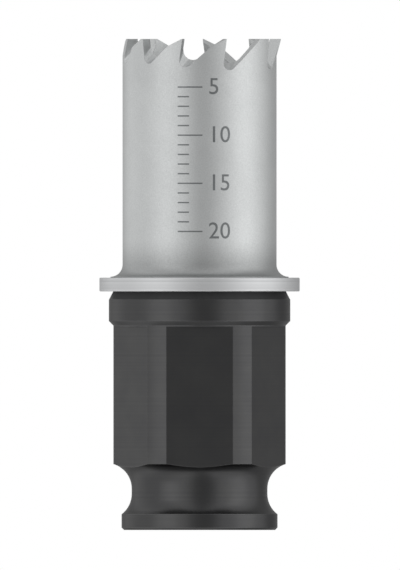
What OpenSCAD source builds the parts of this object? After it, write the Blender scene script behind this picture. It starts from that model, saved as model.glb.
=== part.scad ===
// Small bi-metal hole saw with a screwed-in quick-change adapter.
// The axis is Z. The adapter stands on z = 0 and the teeth point up.
// Angles round the axis are counted from the front (-Y) towards +X, which is
// also the cutting direction, so every rake face looks that way.

/* [Cup] */
// Outer diameter of the cup tube
cup_d = 16; // [14.5:0.1:18]
// Thickness of the cup wall
wall_t = 1.1; // [1:0.05:1.3]
// Height of the cup above the flange, up to the plane of the tips
cup_h = 24.8; // [18:0.1:36]
// Radius of the weld fillet at the foot of the cup
root_r = 1.25; // [0.6:0.05:1.6]
// Height of the square toe under that fillet
root_toe = 0.1; // [0.05:0.05:0.3]

/* [Teeth] */
// Angle of the first tooth's tip
first_tip = -76; // [-90:0.5:-60]
// Hook angle by which each rake face leans forward
hook = 8; // [4:0.5:10]
// Angle of the ramp that backs each tooth
ramp = 42; // [40:0.5:48]
// Angle of the relief close behind a tip
relief = 26; // [22:0.5:30]
// Radius at the bottom of each gullet, on the outside of the wall
gullet_r = 0.65; // [0.55:0.05:0.8]
// The same radius on the inside, where the floor of the gullet lies higher
gullet_in_r = 1.1; // [0.8:0.05:1.1]
// How far the tip of a set tooth is bent in or out
set_t = 0.48; // [0.2:0.02:0.6]
// Height of the bent part of a set tooth
set_h = 1.75; // [1.5:0.01:1.8]

/* [Flange] */
// Diameter of the flange that stops the saw at full depth
flange_d = 20.8; // [19.6:0.1:26]
// Thickness of the flange
flange_t = 1.43; // [1:0.01:3]
// Edge break on the flange
flange_edge = 0.08; // [0.05:0.01:0.3]
// Height of the base above the flange, inside the cup
base_h = 3.6; // [2:0.1:6]

/* [Adapter] */
// Diameter of the collar under the flange
collar_d = 18.85; // [18.6:0.05:19.4]
// Height of the collar with both its chamfers
collar_h = 3.55; // [3:0.05:6]
// Height of the steep chamfer at the top of the collar
collar_top_h = 0.86; // [0.5:0.01:1]
// Depth of that chamfer, across
collar_top_w = 0.45; // [0.2:0.01:0.6]
// Turned diameter over the corners of the hexagon
shank_d = 17.9; // [17.4:0.05:18.4]
// Width across the flats of the hexagon
flats_w = 16.5; // [16.2:0.05:17]
// Distance from the underside of the collar down to the flats
flat_gap = 0.08; // [0.04:0.01:0.4]
// Height of the hexagon and the groove, from the rim up to the collar
shank_h = 19.59; // [15:0.01:30]
// Diameter at the bottom of the locking groove
groove_d = 14.1; // [13.6:0.05:14.6]
// Radius of the groove's two round sides
groove_r = 2.65; // [2.4:0.05:2.9]
// Straight length between them
groove_flat = 0.55; // [0.3:0.05:0.8]
// Diameter of the end rim under the groove
rim_d = 16.2; // [15.8:0.05:16.6]
// Height of the end rim
rim_h = 1.64; // [1.2:0.02:2.4]
// Edge break at the foot of the rim
rim_edge = 0.25; // [0.1:0.05:0.5]
// Diameter of the threaded spigot that screws into the base
spigot_d = 10.6; // [9.6:0.1:11.4]
// Diameter of the bore for the pilot drill
pilot_d = 7.2; // [6.5:0.05:8]
// Chamfer at both ends of that bore
pilot_edge = 0.5; // [0.2:0.05:0.8]

/* [Fits] */
// Radial play between the base and the cup tube round it
cup_play = 0.03; // [0.01:0.01:0.1]
// Radial play between the spigot and its hole in the base
spigot_play = 0.05; // [0.02:0.01:0.15]

/* [Hidden] */
$fn = 96;

// Each row is one tooth: the angle from its tip on to the next tip, the depth
// of the gullet between them, the length of the flat at the next tip if a
// relief runs down behind it or 0 if there is no relief, and the set of this
// tooth: 1 out, 0 straight, below 0 in
teeth = [
    [31.8, 2.55, 0.23, -0.6],
    [31.2, 2.60, 0.06, 1],
    [33.8, 2.95, 0.06, 0],
    [43.5, 3.27, 0, 0],
    [34.7, 3.20, 0, 0],
    [33.4, 2.90, 0.06, 1],
    [45.0, 4.30, 0.06, 0],
    [44.7, 3.40, 0.34, 0],
    [28.9, 2.35, 0.06, 0],
    [33.0, 2.60, 0, 0]
];

cup_r = cup_d / 2;
bore_r = cup_r - wall_t;
collar_z = rim_h + shank_h;
flange_z = collar_z + collar_h;
cup_z = flange_z + flange_t;
tip_z = cup_z + cup_h;
base_top = cup_z + base_h;
groove_z = rim_h + groove_flat / 2
    + sqrt(pow(groove_r, 2) - pow(groove_r + groove_d / 2 - rim_d / 2, 2));
// Height of the 45 degree chamfer from the hexagon out to the collar
collar_low_h = (collar_d - shank_d) / 2;
// How far a cutter reaches past the surface that it starts from
past = 1;
// Length of the cut that makes a relief, of which the ramp leaves only a part
relief_l = 2.2;
// How far the foot of a set tooth runs down into the wall
set_foot = 0.5;
// Straight faces that make up the round at the bottom of a gullet
round_steps = 6;

// Angle of a tooth's tip, with the pitches before it added up
function tip_angle(i) = i == 0 ? first_tip : tip_angle(i - 1) + teeth[i - 1][0];

// Middle of the round at the bottom of a gullet, from the tip of its rake
// face: along the wall and up
function round_mid(depth) =
    let (v = gullet_r - depth)
    [gullet_r / cos(hook) + v * tan(hook), v];

// Middle of a round of radius 1 that touches rake face and ramp, from the line
// in which these two planes meet
function unit_mid() =
    let (between = 90 - hook - ramp, middle = ramp + between / 2)
    [cos(middle), sin(middle)] / sin(between / 2);

// That line under a gullet, from the tip of its rake face
function meet_line(depth) = round_mid(depth) - gullet_r * unit_mid();

// Outline of a gullet at the distance y in front of the axis, where its round
// has the radius r, up to a height that lies above the tips
function gullet_outline(meet, y, r, top) =
    [for (p = concat(
        [[top * tan(hook), top]],
        [for (k = [0 : round_steps])
            let (a = 180 - hook + (90 + hook + ramp) * k / round_steps)
            r * (unit_mid() + [cos(a), sin(a)])],
        [[top / tan(ramp), top]]
    )) [meet.x + p.x, y, tip_z + meet.y + p.y]];

// Angle of the lowest place that the gullet after a tooth has inside the wall
function gullet_angle(i) =
    let (mid = meet_line(teeth[i][1]) + gullet_in_r * unit_mid())
    tip_angle(i) + asin(mid.x / bore_r);

// Number of the tooth before
function before(i) = (i + len(teeth) - 1) % len(teeth);

// One gullet, cut through the wall in line with the rake face that it starts
// from. Rake face and ramp are flat, and the round between them grows towards
// the inside of the wall, so the floor rises there.
module gullet(i) {
    meet = meet_line(teeth[i][1]);
    grow = (gullet_in_r - gullet_r) / wall_t;
    out_y = -cup_r - set_t - past / 4;
    in_y = -bore_r / 2;
    out_r = gullet_r + grow * (out_y + cup_r);
    in_r = gullet_r + grow * (in_y + cup_r);
    top = in_r / tan((90 - hook - ramp) / 2) + past;
    n = round_steps + 3;
    rotate([0, 0, tip_angle(i)]) polyhedron(
        concat(
            gullet_outline(meet, out_y, out_r, top),
            gullet_outline(meet, in_y, in_r, top)
        ),
        concat(
            [[for (k = [0 : n - 1]) n - 1 - k]],
            [[for (k = [0 : n - 1]) n + k]],
            [for (k = [0 : n - 1]) [k, (k + 1) % n, n + (k + 1) % n, n + k]]
        )
    );
}

// The relief behind the tip that ends a gullet, in line with that tip
module relief_cut(i) {
    land = teeth[i][2];
    rotate([0, 0, tip_angle(i) + teeth[i][0]])
        translate([-land, -bore_r / 2, tip_z])
            rotate([90, 0, 0]) linear_extrude(cup_r) polygon([
                [past / tan(relief), past],
                [-relief_l, past],
                [-relief_l, -relief_l * tan(relief)]
            ]);
}

// Everything that is cut away between a tooth and the next
module gap(i) {
    gullet(i);
    if (teeth[i][2] > 0) relief_cut(i);
}

// A section turned about the axis from the gullet before a tooth to the one after
module turn_tooth(i) {
    end = gullet_angle(i);
    start = gullet_angle(before(i)) - (i == 0 ? 360 : 0);
    rotate([0, 0, start - 90]) rotate_extrude(angle = end - start) children();
}

// A set tooth, bent in or out above the bend line, with a foot in the wall
module set_tooth(i) {
    lean = teeth[i][3] * set_t;
    bend_z = tip_z - set_h;
    foot_z = bend_z - set_foot;
    difference() {
        turn_tooth(i) polygon([
            [bore_r, foot_z],
            [cup_r, foot_z],
            [cup_r, bend_z],
            [cup_r + lean, tip_z],
            [bore_r + lean, tip_z],
            [bore_r, bend_z]
        ]);
        gap(before(i));
        gap(i);
    }
}

// Half section of the tube with its weld fillet
module tube_section() {
    translate([bore_r, cup_z]) square([wall_t, cup_h]);
    difference() {
        translate([cup_r - wall_t / 2, cup_z])
            square([wall_t / 2 + root_r, root_toe + root_r]);
        translate([cup_r + root_r, cup_z + root_toe + root_r]) circle(r = root_r);
    }
}

// The tube with its gullets. It is turned so that its seam runs down from the
// last gullet, and its set teeth stand where the straight wall was cut away.
module saw_cup() {
    all_teeth = [0 : len(teeth) - 1];
    set_teeth = [for (i = all_teeth) if (teeth[i][3] != 0) i];
    seam = gullet_angle(before(0));
    color("silver") {
        difference() {
            rotate([0, 0, seam - 90]) rotate_extrude() tube_section();
            for (i = set_teeth)
                turn_tooth(i) translate([bore_r - past, tip_z - set_h])
                    square([wall_t + 2 * past, set_h + past]);
            for (i = all_teeth) gap(i);
        }
        for (i = set_teeth) set_tooth(i);
    }
}

module base_flange() {
    flange_r = flange_d / 2;
    hole_r = spigot_d / 2 + spigot_play;
    plug_r = bore_r - cup_play;
    color("lightgray") rotate_extrude() polygon([
        [hole_r, flange_z],
        [flange_r - flange_edge, flange_z],
        [flange_r, flange_z + flange_edge],
        [flange_r, cup_z - flange_edge],
        [flange_r - flange_edge, cup_z],
        [plug_r, cup_z],
        [plug_r, base_top],
        [hole_r, base_top]
    ]);
}

// Half section of the turned adapter, with its bore
module adapter_section() {
    rim_r = rim_d / 2;
    shank_r = shank_d / 2;
    collar_r = collar_d / 2;
    spigot_r = spigot_d / 2;
    pilot_r = pilot_d / 2;
    difference() {
        polygon([
            [pilot_r + pilot_edge, 0],
            [rim_r - rim_edge, 0],
            [rim_r, rim_edge],
            [rim_r, groove_z],
            [shank_r, groove_z],
            [shank_r, collar_z],
            [collar_r, collar_z + collar_low_h],
            [collar_r, flange_z - collar_top_h],
            [collar_r - collar_top_w, flange_z],
            [spigot_r, flange_z],
            [spigot_r, base_top - pilot_edge],
            [spigot_r - pilot_edge, base_top],
            [pilot_r + pilot_edge, base_top],
            [pilot_r, base_top - pilot_edge],
            [pilot_r, pilot_edge]
        ]);
        groove_section();
    }
}

module groove_section() {
    mid_r = groove_d / 2 + groove_r;
    for (side = [-1, 1])
        translate([mid_r, groove_z + side * groove_flat / 2]) circle(r = groove_r);
    translate([groove_d / 2, groove_z - groove_flat / 2])
        square([groove_r, groove_flat]);
}

module quick_change_adapter() {
    flat_r = flats_w / 2;
    flat_top = collar_z - flat_gap;
    color("dimgray") difference() {
        rotate_extrude() adapter_section();
        for (i = [0 : 5])
            rotate([0, 0, 60 * i])
                translate([-shank_d / 2, -flat_r - past, groove_z])
                    cube([shank_d, past, flat_top - groove_z]);
    }
}

saw_cup();
base_flange();
quick_change_adapter();
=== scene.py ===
"""Looks of a small hole saw and its quick-change adapter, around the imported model."""

import logging
import math
from dataclasses import dataclass
from enum import Enum

import bpy
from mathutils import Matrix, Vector


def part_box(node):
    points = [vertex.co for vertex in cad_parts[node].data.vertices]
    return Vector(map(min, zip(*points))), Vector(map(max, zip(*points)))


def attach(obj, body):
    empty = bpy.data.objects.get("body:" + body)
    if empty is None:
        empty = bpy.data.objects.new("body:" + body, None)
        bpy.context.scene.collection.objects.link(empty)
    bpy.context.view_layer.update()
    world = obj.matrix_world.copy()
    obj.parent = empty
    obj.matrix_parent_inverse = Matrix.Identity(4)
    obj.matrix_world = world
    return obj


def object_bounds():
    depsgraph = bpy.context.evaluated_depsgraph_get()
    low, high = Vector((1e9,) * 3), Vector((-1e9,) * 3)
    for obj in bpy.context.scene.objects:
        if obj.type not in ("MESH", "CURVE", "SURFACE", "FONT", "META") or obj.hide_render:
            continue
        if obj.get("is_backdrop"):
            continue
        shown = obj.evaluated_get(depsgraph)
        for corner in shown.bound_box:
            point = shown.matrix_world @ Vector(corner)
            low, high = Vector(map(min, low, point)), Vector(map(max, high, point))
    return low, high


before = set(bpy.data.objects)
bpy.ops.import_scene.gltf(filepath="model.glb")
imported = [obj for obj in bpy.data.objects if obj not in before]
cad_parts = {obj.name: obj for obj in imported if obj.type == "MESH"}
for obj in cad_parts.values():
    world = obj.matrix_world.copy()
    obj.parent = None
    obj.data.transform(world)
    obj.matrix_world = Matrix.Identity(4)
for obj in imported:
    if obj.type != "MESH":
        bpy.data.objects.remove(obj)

log = logging.getLogger("hole_saw")

MM = 0.001
LEVEL_PART = (1.0, 1.0, 0.0)
WHITE = (1.0, 1.0, 1.0, 1.0)


class Node(Enum):
    """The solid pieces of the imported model."""

    CUP = "saw_cup"
    FLANGE = "base_flange"
    ADAPTER = "quick_change_adapter"


class Slot(Enum):
    """A material slot name, which nothing in this script uses."""

    CUP_STEEL = "cup_steel"


def linear(hex_colour: str) -> tuple[float, float, float, float]:
    """Turns an sRGB hex colour into linear light.

    Args:
        hex_colour: The colour as "#RRGGBB".

    Returns:
        Red, green and blue in linear light, with an alpha of 1.
    """
    parts = [int(hex_colour[i : i + 2], 16) / 255 for i in (1, 3, 5)]
    red, green, blue = (c / 12.92 if c <= 0.04045 else ((c + 0.055) / 1.055) ** 2.4 for c in parts)
    return red, green, blue, 1.0


def per_metre(size_mm: float) -> float:
    """The scale of a texture whose features are this many millimetres across."""
    return 1 / (size_mm * MM)


def add_node(
    tree: bpy.types.NodeTree, kind: str, inputs: dict | None = None, **settings: object
) -> bpy.types.Node:
    """Adds a node with its settings and its links.

    Args:
        tree: The node tree that gets the node.
        kind: The node's type, such as "ShaderNodeMath".
        inputs: For each input, by name or number, a value or the socket that feeds it.
        **settings: The node's own properties, such as operation="ADD".

    Returns:
        The new node.
    """
    made = tree.nodes.new(kind)
    for name, value in settings.items():
        setattr(made, name, value)
    for name, value in (inputs or {}).items():
        if isinstance(value, bpy.types.NodeSocket):
            tree.links.new(value, made.inputs[name])
        else:
            made.inputs[name].default_value = value
    return made


@dataclass(frozen=True)
class MetalFinish:
    """A bare or blackened metal surface: two close tones, a dullness and a fine relief.

    Attributes:
        name: The material's name.
        clean: The clean tone, as "#RRGGBB".
        dull: The dull tone, which lies in soft clouds over the clean one.
        roughness: The roughness at the middle height of the relief.
        roughness_swing: How far the roughness falls and rises with the relief.
        cloud_mm: How wide the clouds are.
        relief_mm: How high the fine relief is.
        edge_tint: The tint at a grazing view.
        fine_share: The share of the fine relief in the pattern of the tones.
        edge_mm: The radius to which the edges look rounded.
        edge_gain: By how much the tone is multiplied on an edge: a painted highlight, partly
            standing for oxide worn thin there.
        cloud_detail: How much finer structure the clouds have.
        cloud_range: The pattern's values at which the tone is all clean and all dull.
        height_range: The heights at which the roughness is lowest and highest.
        edge_samples: How many rays look for an edge.
        rub_range: How well the rounded normal agrees with the true one on an edge and off it.
    """

    name: str
    clean: str
    dull: str
    roughness: float
    roughness_swing: float
    cloud_mm: float
    relief_mm: float
    edge_tint: str
    fine_share: float
    edge_mm: float
    edge_gain: float
    cloud_detail: float = 3.0
    cloud_range: tuple[float, float] = (0.35, 0.65)
    height_range: tuple[float, float] = (0.25, 0.75)
    edge_samples: int = 6
    rub_range: tuple[float, float] = (0.955, 0.998)

    def material(self) -> bpy.types.Material:
        """Makes the material.

        Returns:
            A material whose pattern follows the object's own coordinates.
        """
        material = bpy.data.materials.new(self.name)
        material.use_nodes = True
        tree = material.node_tree
        tree.nodes.clear()
        place = add_node(tree, "ShaderNodeTexCoord")
        cloud = add_node(
            tree,
            "ShaderNodeTexNoise",
            {
                "Vector": place.outputs["Object"],
                "Scale": per_metre(self.cloud_mm),
                "Detail": self.cloud_detail,
            },
        )
        height = self.height(tree, place)
        mottle = add_node(
            tree, "ShaderNodeMix", {0: self.fine_share, 2: cloud.outputs["Fac"], 3: height}
        )
        spread = add_node(
            tree,
            "ShaderNodeMapRange",
            {
                "Value": mottle.outputs[0],
                "From Min": self.cloud_range[0],
                "From Max": self.cloud_range[1],
            },
        )
        tone = add_node(
            tree,
            "ShaderNodeMix",
            {0: spread.outputs["Result"], 6: linear(self.clean), 7: linear(self.dull)},
            data_type="RGBA",
        )
        surface = add_node(tree, "ShaderNodeNewGeometry")
        edge = add_node(
            tree, "ShaderNodeBevel", {"Radius": self.edge_mm * MM}, samples=self.edge_samples
        )
        turn = add_node(
            tree,
            "ShaderNodeVectorMath",
            {0: edge.outputs[0], 1: surface.outputs["Normal"]},
            operation="DOT_PRODUCT",
        )
        # Painted edge highlight, partly worn oxide: the tone is made lighter where the rounded
        # normal turns away from the true one.
        wear_and_highlight = add_node(
            tree,
            "ShaderNodeMapRange",
            {
                "Value": turn.outputs["Value"],
                "From Min": self.rub_range[0],
                "From Max": self.rub_range[1],
                "To Min": self.edge_gain,
                "To Max": 1.0,
            },
        )
        # The tone is multiplied by the painted edge highlight and by any painted shade.
        gain = add_node(
            tree,
            "ShaderNodeMath",
            {0: wear_and_highlight.outputs["Result"], 1: self.brightness(tree, place)},
            operation="MULTIPLY",
        )
        shown = add_node(
            tree,
            "ShaderNodeVectorMath",
            {0: tone.outputs[2], "Scale": gain.outputs[0]},
            operation="SCALE",
        )
        dullness = add_node(
            tree,
            "ShaderNodeMapRange",
            {
                "Value": height,
                "From Min": self.height_range[0],
                "From Max": self.height_range[1],
                "To Min": self.roughness - self.roughness_swing,
                "To Max": self.roughness + self.roughness_swing,
            },
        )
        relief = add_node(
            tree,
            "ShaderNodeBump",
            {
                "Strength": 1.0,
                "Distance": self.relief_mm * MM,
                "Height": height,
                "Normal": edge.outputs[0],
            },
        )
        shader = add_node(
            tree,
            "ShaderNodeBsdfPrincipled",
            {
                "Base Color": shown.outputs[0],
                "Metallic": 1.0,
                "Specular Tint": linear(self.edge_tint),
                "Roughness": dullness.outputs["Result"],
                "Normal": relief.outputs["Normal"],
            },
        )
        add_node(tree, "ShaderNodeOutputMaterial", {"Surface": shader.outputs["BSDF"]})
        return material

    def height(self, tree: bpy.types.NodeTree, place: bpy.types.Node) -> bpy.types.NodeSocket:
        """The height of the fine relief, from 0 to 1. Each finish gives its own."""
        raise NotImplementedError

    def brightness(
        self, tree: bpy.types.NodeTree, place: bpy.types.Node
    ) -> bpy.types.NodeSocket | float:
        """By how much the tone is multiplied as painted shade, 1 where none is painted."""
        return 1.0


@dataclass(frozen=True)
class BlastedSteel(MetalFinish):
    """Steel strip, rolled, welded and blasted with fine grit: an even satin with a soft grain.

    Attributes:
        grit_mm: How wide a grit mark is.
        grit_detail: How much finer structure the marks have.
        grit_share: How strong that finer structure is.
    """

    grit_mm: float = 0.14
    grit_detail: float = 2.0
    grit_share: float = 0.6

    def height(self, tree: bpy.types.NodeTree, place: bpy.types.Node) -> bpy.types.NodeSocket:
        """Grit marks. Real ones are about 0.05 mm, and they are drawn coarser so that they show.

        Args:
            tree: The material's node tree.
            place: The node that gives the object's coordinates.

        Returns:
            The height, from 0 to 1.
        """
        grit = add_node(
            tree,
            "ShaderNodeTexNoise",
            {
                "Vector": place.outputs["Object"],
                "Scale": per_metre(self.grit_mm),
                "Detail": self.grit_detail,
                "Roughness": self.grit_share,
            },
        )
        return grit.outputs["Fac"]


@dataclass(frozen=True)
class WeldedSteel(BlastedSteel):
    """Blasted steel with painted shade, darker towards the cup's foot where the flange shades it.

    Attributes:
        full_mm: How far up from the cup's foot the painted shade is full.
        fade_mm: Over what height above that it fades out.
        dulled: By how much the tone is multiplied where the painted shade is full.
    """

    full_mm: float = 0.39
    fade_mm: float = 4.0
    dulled: float = 0.65

    def brightness(self, tree: bpy.types.NodeTree, place: bpy.types.Node) -> bpy.types.NodeSocket:
        """The painted shade, full at the foot of the weld and gone a little way above the weld.

        Args:
            tree: The material's node tree.
            place: The node that gives the object's coordinates.

        Returns:
            By how much the tone is multiplied.
        """
        # Painted shade: the tone darkens towards the cup's foot, where the flange shades it.
        full_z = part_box(Node.CUP.value)[0][2] + self.full_mm * MM
        parts = add_node(tree, "ShaderNodeSeparateXYZ", {"Vector": place.outputs["Object"]})
        shade_ramp = add_node(
            tree,
            "ShaderNodeMapRange",
            {
                "Value": parts.outputs["Z"],
                "From Min": full_z,
                "From Max": full_z + self.fade_mm * MM,
                "To Min": self.dulled,
                "To Max": 1.0,
            },
            interpolation_type="SMOOTHSTEP",
        )
        return shade_ramp.outputs["Result"]


@dataclass(frozen=True)
class TurnedSteel(MetalFinish):
    """Steel turned on a lathe: fine feed lines run round the rim and in rings over the faces.

    Attributes:
        feed_mm: How wide a feed line is.
        feed_detail: How much finer structure the lines have.
        face_slope: How upright a normal is, at least, on what counts as a flat face.
    """

    feed_mm: float = 0.25
    feed_detail: float = 2.0
    face_slope: float = 0.9

    def height(self, tree: bpy.types.NodeTree, place: bpy.types.Node) -> bpy.types.NodeSocket:
        """Feed lines, one after another up a wall and outwards over a flat face.

        Args:
            tree: The material's node tree.
            place: The node that gives the object's coordinates and normal.

        Returns:
            The height, from 0 to 1.
        """
        parts = add_node(tree, "ShaderNodeSeparateXYZ", {"Vector": place.outputs["Object"]})
        normal = add_node(tree, "ShaderNodeSeparateXYZ", {"Vector": place.outputs["Normal"]})
        flat = add_node(
            tree,
            "ShaderNodeVectorMath",
            {0: place.outputs["Object"], 1: LEVEL_PART},
            operation="MULTIPLY",
        )
        radius = add_node(tree, "ShaderNodeVectorMath", {0: flat.outputs[0]}, operation="LENGTH")
        slope = add_node(tree, "ShaderNodeMath", {0: normal.outputs["Z"]}, operation="ABSOLUTE")
        is_face = add_node(
            tree,
            "ShaderNodeMath",
            {0: slope.outputs[0], 1: self.face_slope},
            operation="GREATER_THAN",
        )
        travel = add_node(
            tree,
            "ShaderNodeMath",
            {0: radius.outputs["Value"], 1: is_face.outputs[0], 2: parts.outputs["Z"]},
            operation="MULTIPLY_ADD",
        )
        lines = add_node(
            tree,
            "ShaderNodeTexNoise",
            {
                "W": travel.outputs[0],
                "Scale": per_metre(self.feed_mm),
                "Detail": self.feed_detail,
            },
            noise_dimensions="1D",
        )
        return lines.outputs["Fac"]


@dataclass(frozen=True)
class BlackOxide(TurnedSteel):
    """Machined steel blackened in a hot salt bath: a thin dark layer that keeps a satin shine."""


@dataclass(frozen=True)
class LaserMark(BlastedSteel):
    """Steel darkened and roughened by a marking laser."""


class Finishes:
    """The finishes of this hole saw."""

    def __init__(self) -> None:
        """Sets the finish of each solid and of the marks."""
        # The cup's steel carries painted shade towards its foot.
        self.cup = WeldedSteel(
            name="blasted_steel",
            clean="#D6D8D8",
            dull="#C9CBCB",
            roughness=0.47,
            roughness_swing=0.04,
            cloud_mm=5.0,
            relief_mm=0.006,
            edge_tint="#F8F8F8",
            fine_share=0.6,
            edge_mm=0.05,
            edge_gain=1.0,
        )
        self.flange = TurnedSteel(
            name="turned_steel",
            clean="#DCDDDE",
            dull="#CBCCCD",
            roughness=0.52,
            roughness_swing=0.06,
            cloud_mm=4.0,
            relief_mm=0.010,
            edge_tint="#DCDCDC",
            fine_share=0.8,
            edge_mm=0.08,
            edge_gain=1.1,
        )
        # The black oxide gets the strongest painted edge highlight, partly oxide worn thin on its
        # edges.
        self.adapter = BlackOxide(
            name="black_oxide",
            clean="#535353",
            dull="#4E4E4F",
            roughness=0.31,
            roughness_swing=0.02,
            cloud_mm=3.0,
            relief_mm=0.0006,
            edge_tint="#DADADA",
            fine_share=0.3,
            edge_mm=0.12,
            edge_gain=1.5,
        )
        self.mark = LaserMark(
            name="laser_mark",
            clean="#878A8B",
            dull="#7D8081",
            roughness=0.50,
            roughness_swing=0.05,
            cloud_mm=1.0,
            relief_mm=0.004,
            edge_tint="#DADADA",
            fine_share=0.5,
            edge_mm=0.01,
            edge_gain=1.0,
        )

    def dress(self) -> None:
        """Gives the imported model's pieces their materials."""
        for node, finish in (
            (Node.CUP, self.cup),
            (Node.FLANGE, self.flange),
            (Node.ADAPTER, self.adapter),
        ):
            material = finish.material()
            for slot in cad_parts[node.value].material_slots:
                slot.material = material
            log.info("%s wears %s", node.value, finish.name)


@dataclass
class DepthScale:
    """A plain depth scale, laser marked on the front of the cup: ticks and round numbers.

    Sizes and depths are in millimetres, and depths are measured from the tips of the teeth.
    """

    cup_radius: float = 8.0
    first_depth: int = 5
    last_depth: int = 20
    number_step: int = 5
    line_width: float = 0.14
    short_tick: float = 1.2
    long_tick: float = 2.6
    tick_left: float = -2.3
    number_left: float = 0.9
    number_height: float = 1.75
    digit_share: float = 0.72
    thickness: float = 0.02
    sunk: float = 0.008
    slice_width: float = 0.25
    merge_gap: float = 0.0001
    curve_steps: int = 4

    def make(self, finish: LaserMark) -> bpy.types.Object:
        """Makes the scale as one thin piece that lies round the cup.

        Args:
            finish: The finish of the marks.

        Returns:
            The piece.
        """
        bpy.ops.object.select_all(action="DESELECT")
        flat = [self._tick(depth) for depth in range(self.first_depth, self.last_depth + 1)]
        flat += [
            self._number(depth)
            for depth in range(self.first_depth, self.last_depth + 1, self.number_step)
        ]
        for piece in flat:
            piece.select_set(True)
        scale = flat[0]
        bpy.context.view_layer.objects.active = scale
        bpy.ops.object.join()
        scale.name = "depth_scale"
        self._slice(scale)
        self._thicken(scale)
        self._wrap(scale)
        scale.data.materials.clear()
        scale.data.materials.append(finish.material())
        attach(scale, "root")
        log.info("%s has %d faces", scale.name, len(scale.data.polygons))
        return scale

    def _tick(self, depth: int) -> bpy.types.Object:
        """Makes one line of the scale, flat, as far below the origin as it is deep.

        Args:
            depth: Its depth.

        Returns:
            The line.
        """
        length = self.short_tick if depth % self.number_step else self.long_tick
        middle = Vector((self.tick_left + length / 2, -depth, 0)) * MM
        bpy.ops.mesh.primitive_plane_add(size=1, location=middle)
        tick = bpy.context.object
        tick.scale = (length * MM, self.line_width * MM, 1)
        bpy.ops.object.transform_apply()
        return tick

    def _number(self, depth: int) -> bpy.types.Object:
        """Makes the number beside a long line, flat.

        Args:
            depth: The line's depth.

        Returns:
            The number as a mesh.
        """
        bpy.ops.object.text_add(location=Vector((self.number_left, -depth, 0)) * MM)
        number = bpy.context.object
        number.data.body = str(depth)
        number.data.size = self.number_height / self.digit_share * MM
        number.data.align_y = "CENTER"
        number.data.resolution_u = self.curve_steps
        bpy.ops.object.convert(target="MESH")
        bpy.ops.object.transform_apply()
        return bpy.context.object

    def _slice(self, scale: bpy.types.Object) -> None:
        """Cuts the flat marks into narrow upright strips, so that they bend smoothly.

        Args:
            scale: The marks, joined and active.
        """
        columns = [v.co.x for v in scale.data.vertices]
        count = int((max(columns) - min(columns)) / (self.slice_width * MM))
        bpy.ops.object.mode_set(mode="EDIT")
        for i in range(1, count + 1):
            bpy.ops.mesh.select_all(action="SELECT")
            cut = min(columns) + i * self.slice_width * MM
            bpy.ops.mesh.bisect(plane_co=(cut, 0, 0), plane_no=(1, 0, 0))
        bpy.ops.mesh.select_all(action="SELECT")
        bpy.ops.mesh.remove_doubles(threshold=self.merge_gap * MM)
        bpy.ops.mesh.normals_make_consistent(inside=False)
        bpy.ops.object.mode_set(mode="OBJECT")

    def _thicken(self, scale: bpy.types.Object) -> None:
        """Gives the flat marks a small thickness, upwards from their plane.

        Args:
            scale: The marks, joined and active.
        """
        solidify = scale.modifiers.new("thickness", "SOLIDIFY")
        solidify.thickness = self.thickness * MM
        solidify.offset = 1
        bpy.ops.object.modifier_apply(modifier=solidify.name)

    def _wrap(self, scale: bpy.types.Object) -> None:
        """Bends the flat marks round the cup, with their underside just inside its surface.

        Args:
            scale: The marks, flat but for their thickness.
        """
        tip_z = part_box(Node.CUP.value)[1][2]
        start = (self.cup_radius - self.sunk) * MM
        for vertex in scale.data.vertices:
            across, up, out = vertex.co
            angle = across / (self.cup_radius * MM)
            radius = start + out
            vertex.co = (radius * math.sin(angle), -radius * math.cos(angle), tip_z + up)
        scale.data.update()


@dataclass(frozen=True)
class DimZone:
    """A dim part of the surround: where it is, how wide, and the share of light left in it.

    The light is at that share within the inner angle and whole beyond the outer one. All three
    angles are in degrees.
    """

    azimuth: float
    inner: float
    outer: float
    share: float


@dataclass(frozen=True)
class SoftBox:
    """An upright soft box: its azimuth in degrees, height in metres and power in watts."""

    name: str
    azimuth: float
    height: float
    power: float


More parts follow.
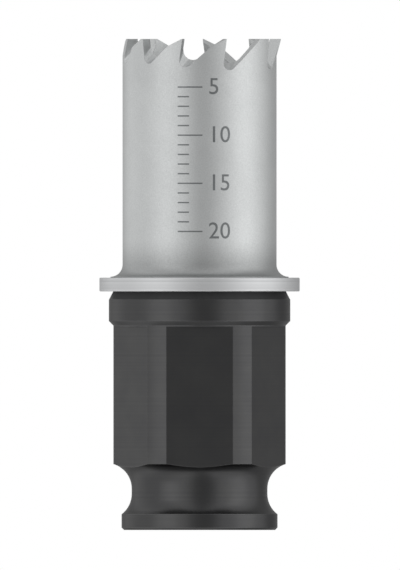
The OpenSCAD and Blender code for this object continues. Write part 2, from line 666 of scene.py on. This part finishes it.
@dataclass
class Studio:
    """The plain studio: camera, pale floor, white surround with dim zones, and two soft boxes.

    Azimuths are in degrees from the camera's side (-Y) towards +X, and distances in metres.
    """

    picture: tuple[int, int] = (400, 570)
    mm_per_pixel: float = 0.10387
    axis_column: float = 199.55
    floor_row: float = 530.0
    camera_distance: float = 0.3
    near_clip: float = 0.01
    floor_size: float = 1.6
    floor_colour: str = "#F1F1F0"
    floor_roughness: float = 0.8
    floor_shine: float = 0.2
    surround: float = 0.95
    gap: DimZone = DimZone(azimuth=6.0, inner=5.0, outer=30.0, share=0.37)
    rear: DimZone = DimZone(azimuth=165.0, inner=40.0, outer=60.0, share=0.44)
    flank: DimZone = DimZone(azimuth=-85.0, inner=10.0, outer=38.0, share=0.83)
    box_distance: float = 0.4
    box_width: float = 0.22
    left_box: SoftBox = SoftBox("left_soft_box", azimuth=-53.0, height=0.45, power=0.10)
    right_box: SoftBox = SoftBox("right_soft_box", azimuth=72.0, height=0.80, power=0.24)

    def make(self) -> None:
        """Makes the camera, the floor, the surround and the lights."""
        self._camera()
        self._floor()
        self._world()
        self._soft_box(self.left_box)
        self._soft_box(self.right_box)
        bpy.context.scene.view_settings.view_transform = "Standard"

    def _camera(self) -> None:
        """A level camera with parallel rays, as the photograph shows no perspective."""
        width, height = self.picture
        across = (width / 2 - self.axis_column) * self.mm_per_pixel * MM
        up = (self.floor_row - height / 2) * self.mm_per_pixel * MM
        bpy.ops.object.camera_add(
            location=(across, -self.camera_distance, up), rotation=(math.pi / 2, 0, 0)
        )
        camera = bpy.context.object
        camera.data.type = "ORTHO"
        camera.data.ortho_scale = max(self.picture) * self.mm_per_pixel * MM
        camera.data.clip_start = self.near_clip
        bpy.context.scene.camera = camera

    def _floor(self) -> None:
        """A pale matt board under the saw. The metal mirrors the surround in its place."""
        bpy.ops.mesh.primitive_plane_add(size=self.floor_size)
        floor = bpy.context.object
        floor.name = "floor"
        material = bpy.data.materials.new("matt_board")
        material.use_nodes = True
        tree = material.node_tree
        tree.nodes.clear()
        shader = add_node(
            tree,
            "ShaderNodeBsdfPrincipled",
            {
                "Base Color": linear(self.floor_colour),
                "Roughness": self.floor_roughness,
                "Specular IOR Level": self.floor_shine,
            },
        )
        add_node(tree, "ShaderNodeOutputMaterial", {"Surface": shader.outputs["BSDF"]})
        floor.data.materials.append(material)
        floor.visible_glossy = False
        floor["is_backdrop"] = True

    def _world(self) -> None:
        """A white surround with three dim zones, which only the camera sees as plain white."""
        world = bpy.data.worlds.new("surround")
        bpy.context.scene.world = world
        world.use_nodes = True
        tree = world.node_tree
        tree.nodes.clear()
        place = add_node(tree, "ShaderNodeTexCoord")
        level = add_node(
            tree,
            "ShaderNodeVectorMath",
            {0: place.outputs["Generated"], 1: LEVEL_PART},
            operation="MULTIPLY",
        )
        heading = add_node(
            tree, "ShaderNodeVectorMath", {0: level.outputs[0]}, operation="NORMALIZE"
        )
        light: bpy.types.NodeSocket | float = self.surround
        for zone in (self.gap, self.rear, self.flank):
            share = self._dim_towards(tree, heading.outputs[0], zone)
            dimmed = add_node(tree, "ShaderNodeMath", {0: share, 1: light}, operation="MULTIPLY")
            light = dimmed.outputs[0]
        path = add_node(tree, "ShaderNodeLightPath")
        strength = add_node(
            tree, "ShaderNodeMix", {0: path.outputs["Is Camera Ray"], 2: light, 3: 1.0}
        )
        background = add_node(
            tree, "ShaderNodeBackground", {"Color": WHITE, "Strength": strength.outputs[0]}
        )
        add_node(tree, "ShaderNodeOutputWorld", {"Surface": background.outputs[0]})

    def _dim_towards(
        self, tree: bpy.types.NodeTree, heading: bpy.types.NodeSocket, zone: DimZone
    ) -> bpy.types.NodeSocket:
        """The share of light that one dim zone leaves in each direction.

        Args:
            tree: The world's node tree.
            heading: The level direction, of length 1.
            zone: The dim zone.

        Returns:
            The share, from 0 to 1.
        """
        angle = math.radians(zone.azimuth)
        towards = add_node(
            tree,
            "ShaderNodeVectorMath",
            {0: heading, 1: (math.sin(angle), -math.cos(angle), 0.0)},
            operation="DOT_PRODUCT",
        )
        share = add_node(
            tree,
            "ShaderNodeMapRange",
            {
                "Value": towards.outputs["Value"],
                "From Min": math.cos(math.radians(zone.outer)),
                "From Max": math.cos(math.radians(zone.inner)),
                "To Min": 1.0,
                "To Max": zone.share,
            },
            interpolation_type="SMOOTHSTEP",
        )
        return share.outputs["Result"]

    def _soft_box(self, box: SoftBox) -> None:
        """Makes one soft box, which faces the middle of the hole saw.

        Args:
            box: Its place, height and power.
        """
        angle = math.radians(box.azimuth)
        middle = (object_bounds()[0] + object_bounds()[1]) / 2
        away = Vector((math.sin(angle), -math.cos(angle), 0))
        bpy.ops.object.light_add(type="AREA", location=middle + away * self.box_distance)
        light = bpy.context.object
        light.name = box.name
        light.data.shape = "RECTANGLE"
        light.data.size = self.box_width
        light.data.size_y = box.height
        light.data.energy = box.power
        light.rotation_mode = "QUATERNION"
        light.rotation_quaternion = away.to_track_quat("Z", "Y")


def main() -> None:
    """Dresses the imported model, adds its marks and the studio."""
    logging.basicConfig(level=logging.INFO, format="%(name)s: %(message)s")
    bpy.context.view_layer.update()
    Studio().make()
    finishes = Finishes()
    finishes.dress()
    DepthScale().make(finishes.mark)


if __name__ == "__main__":
    main()
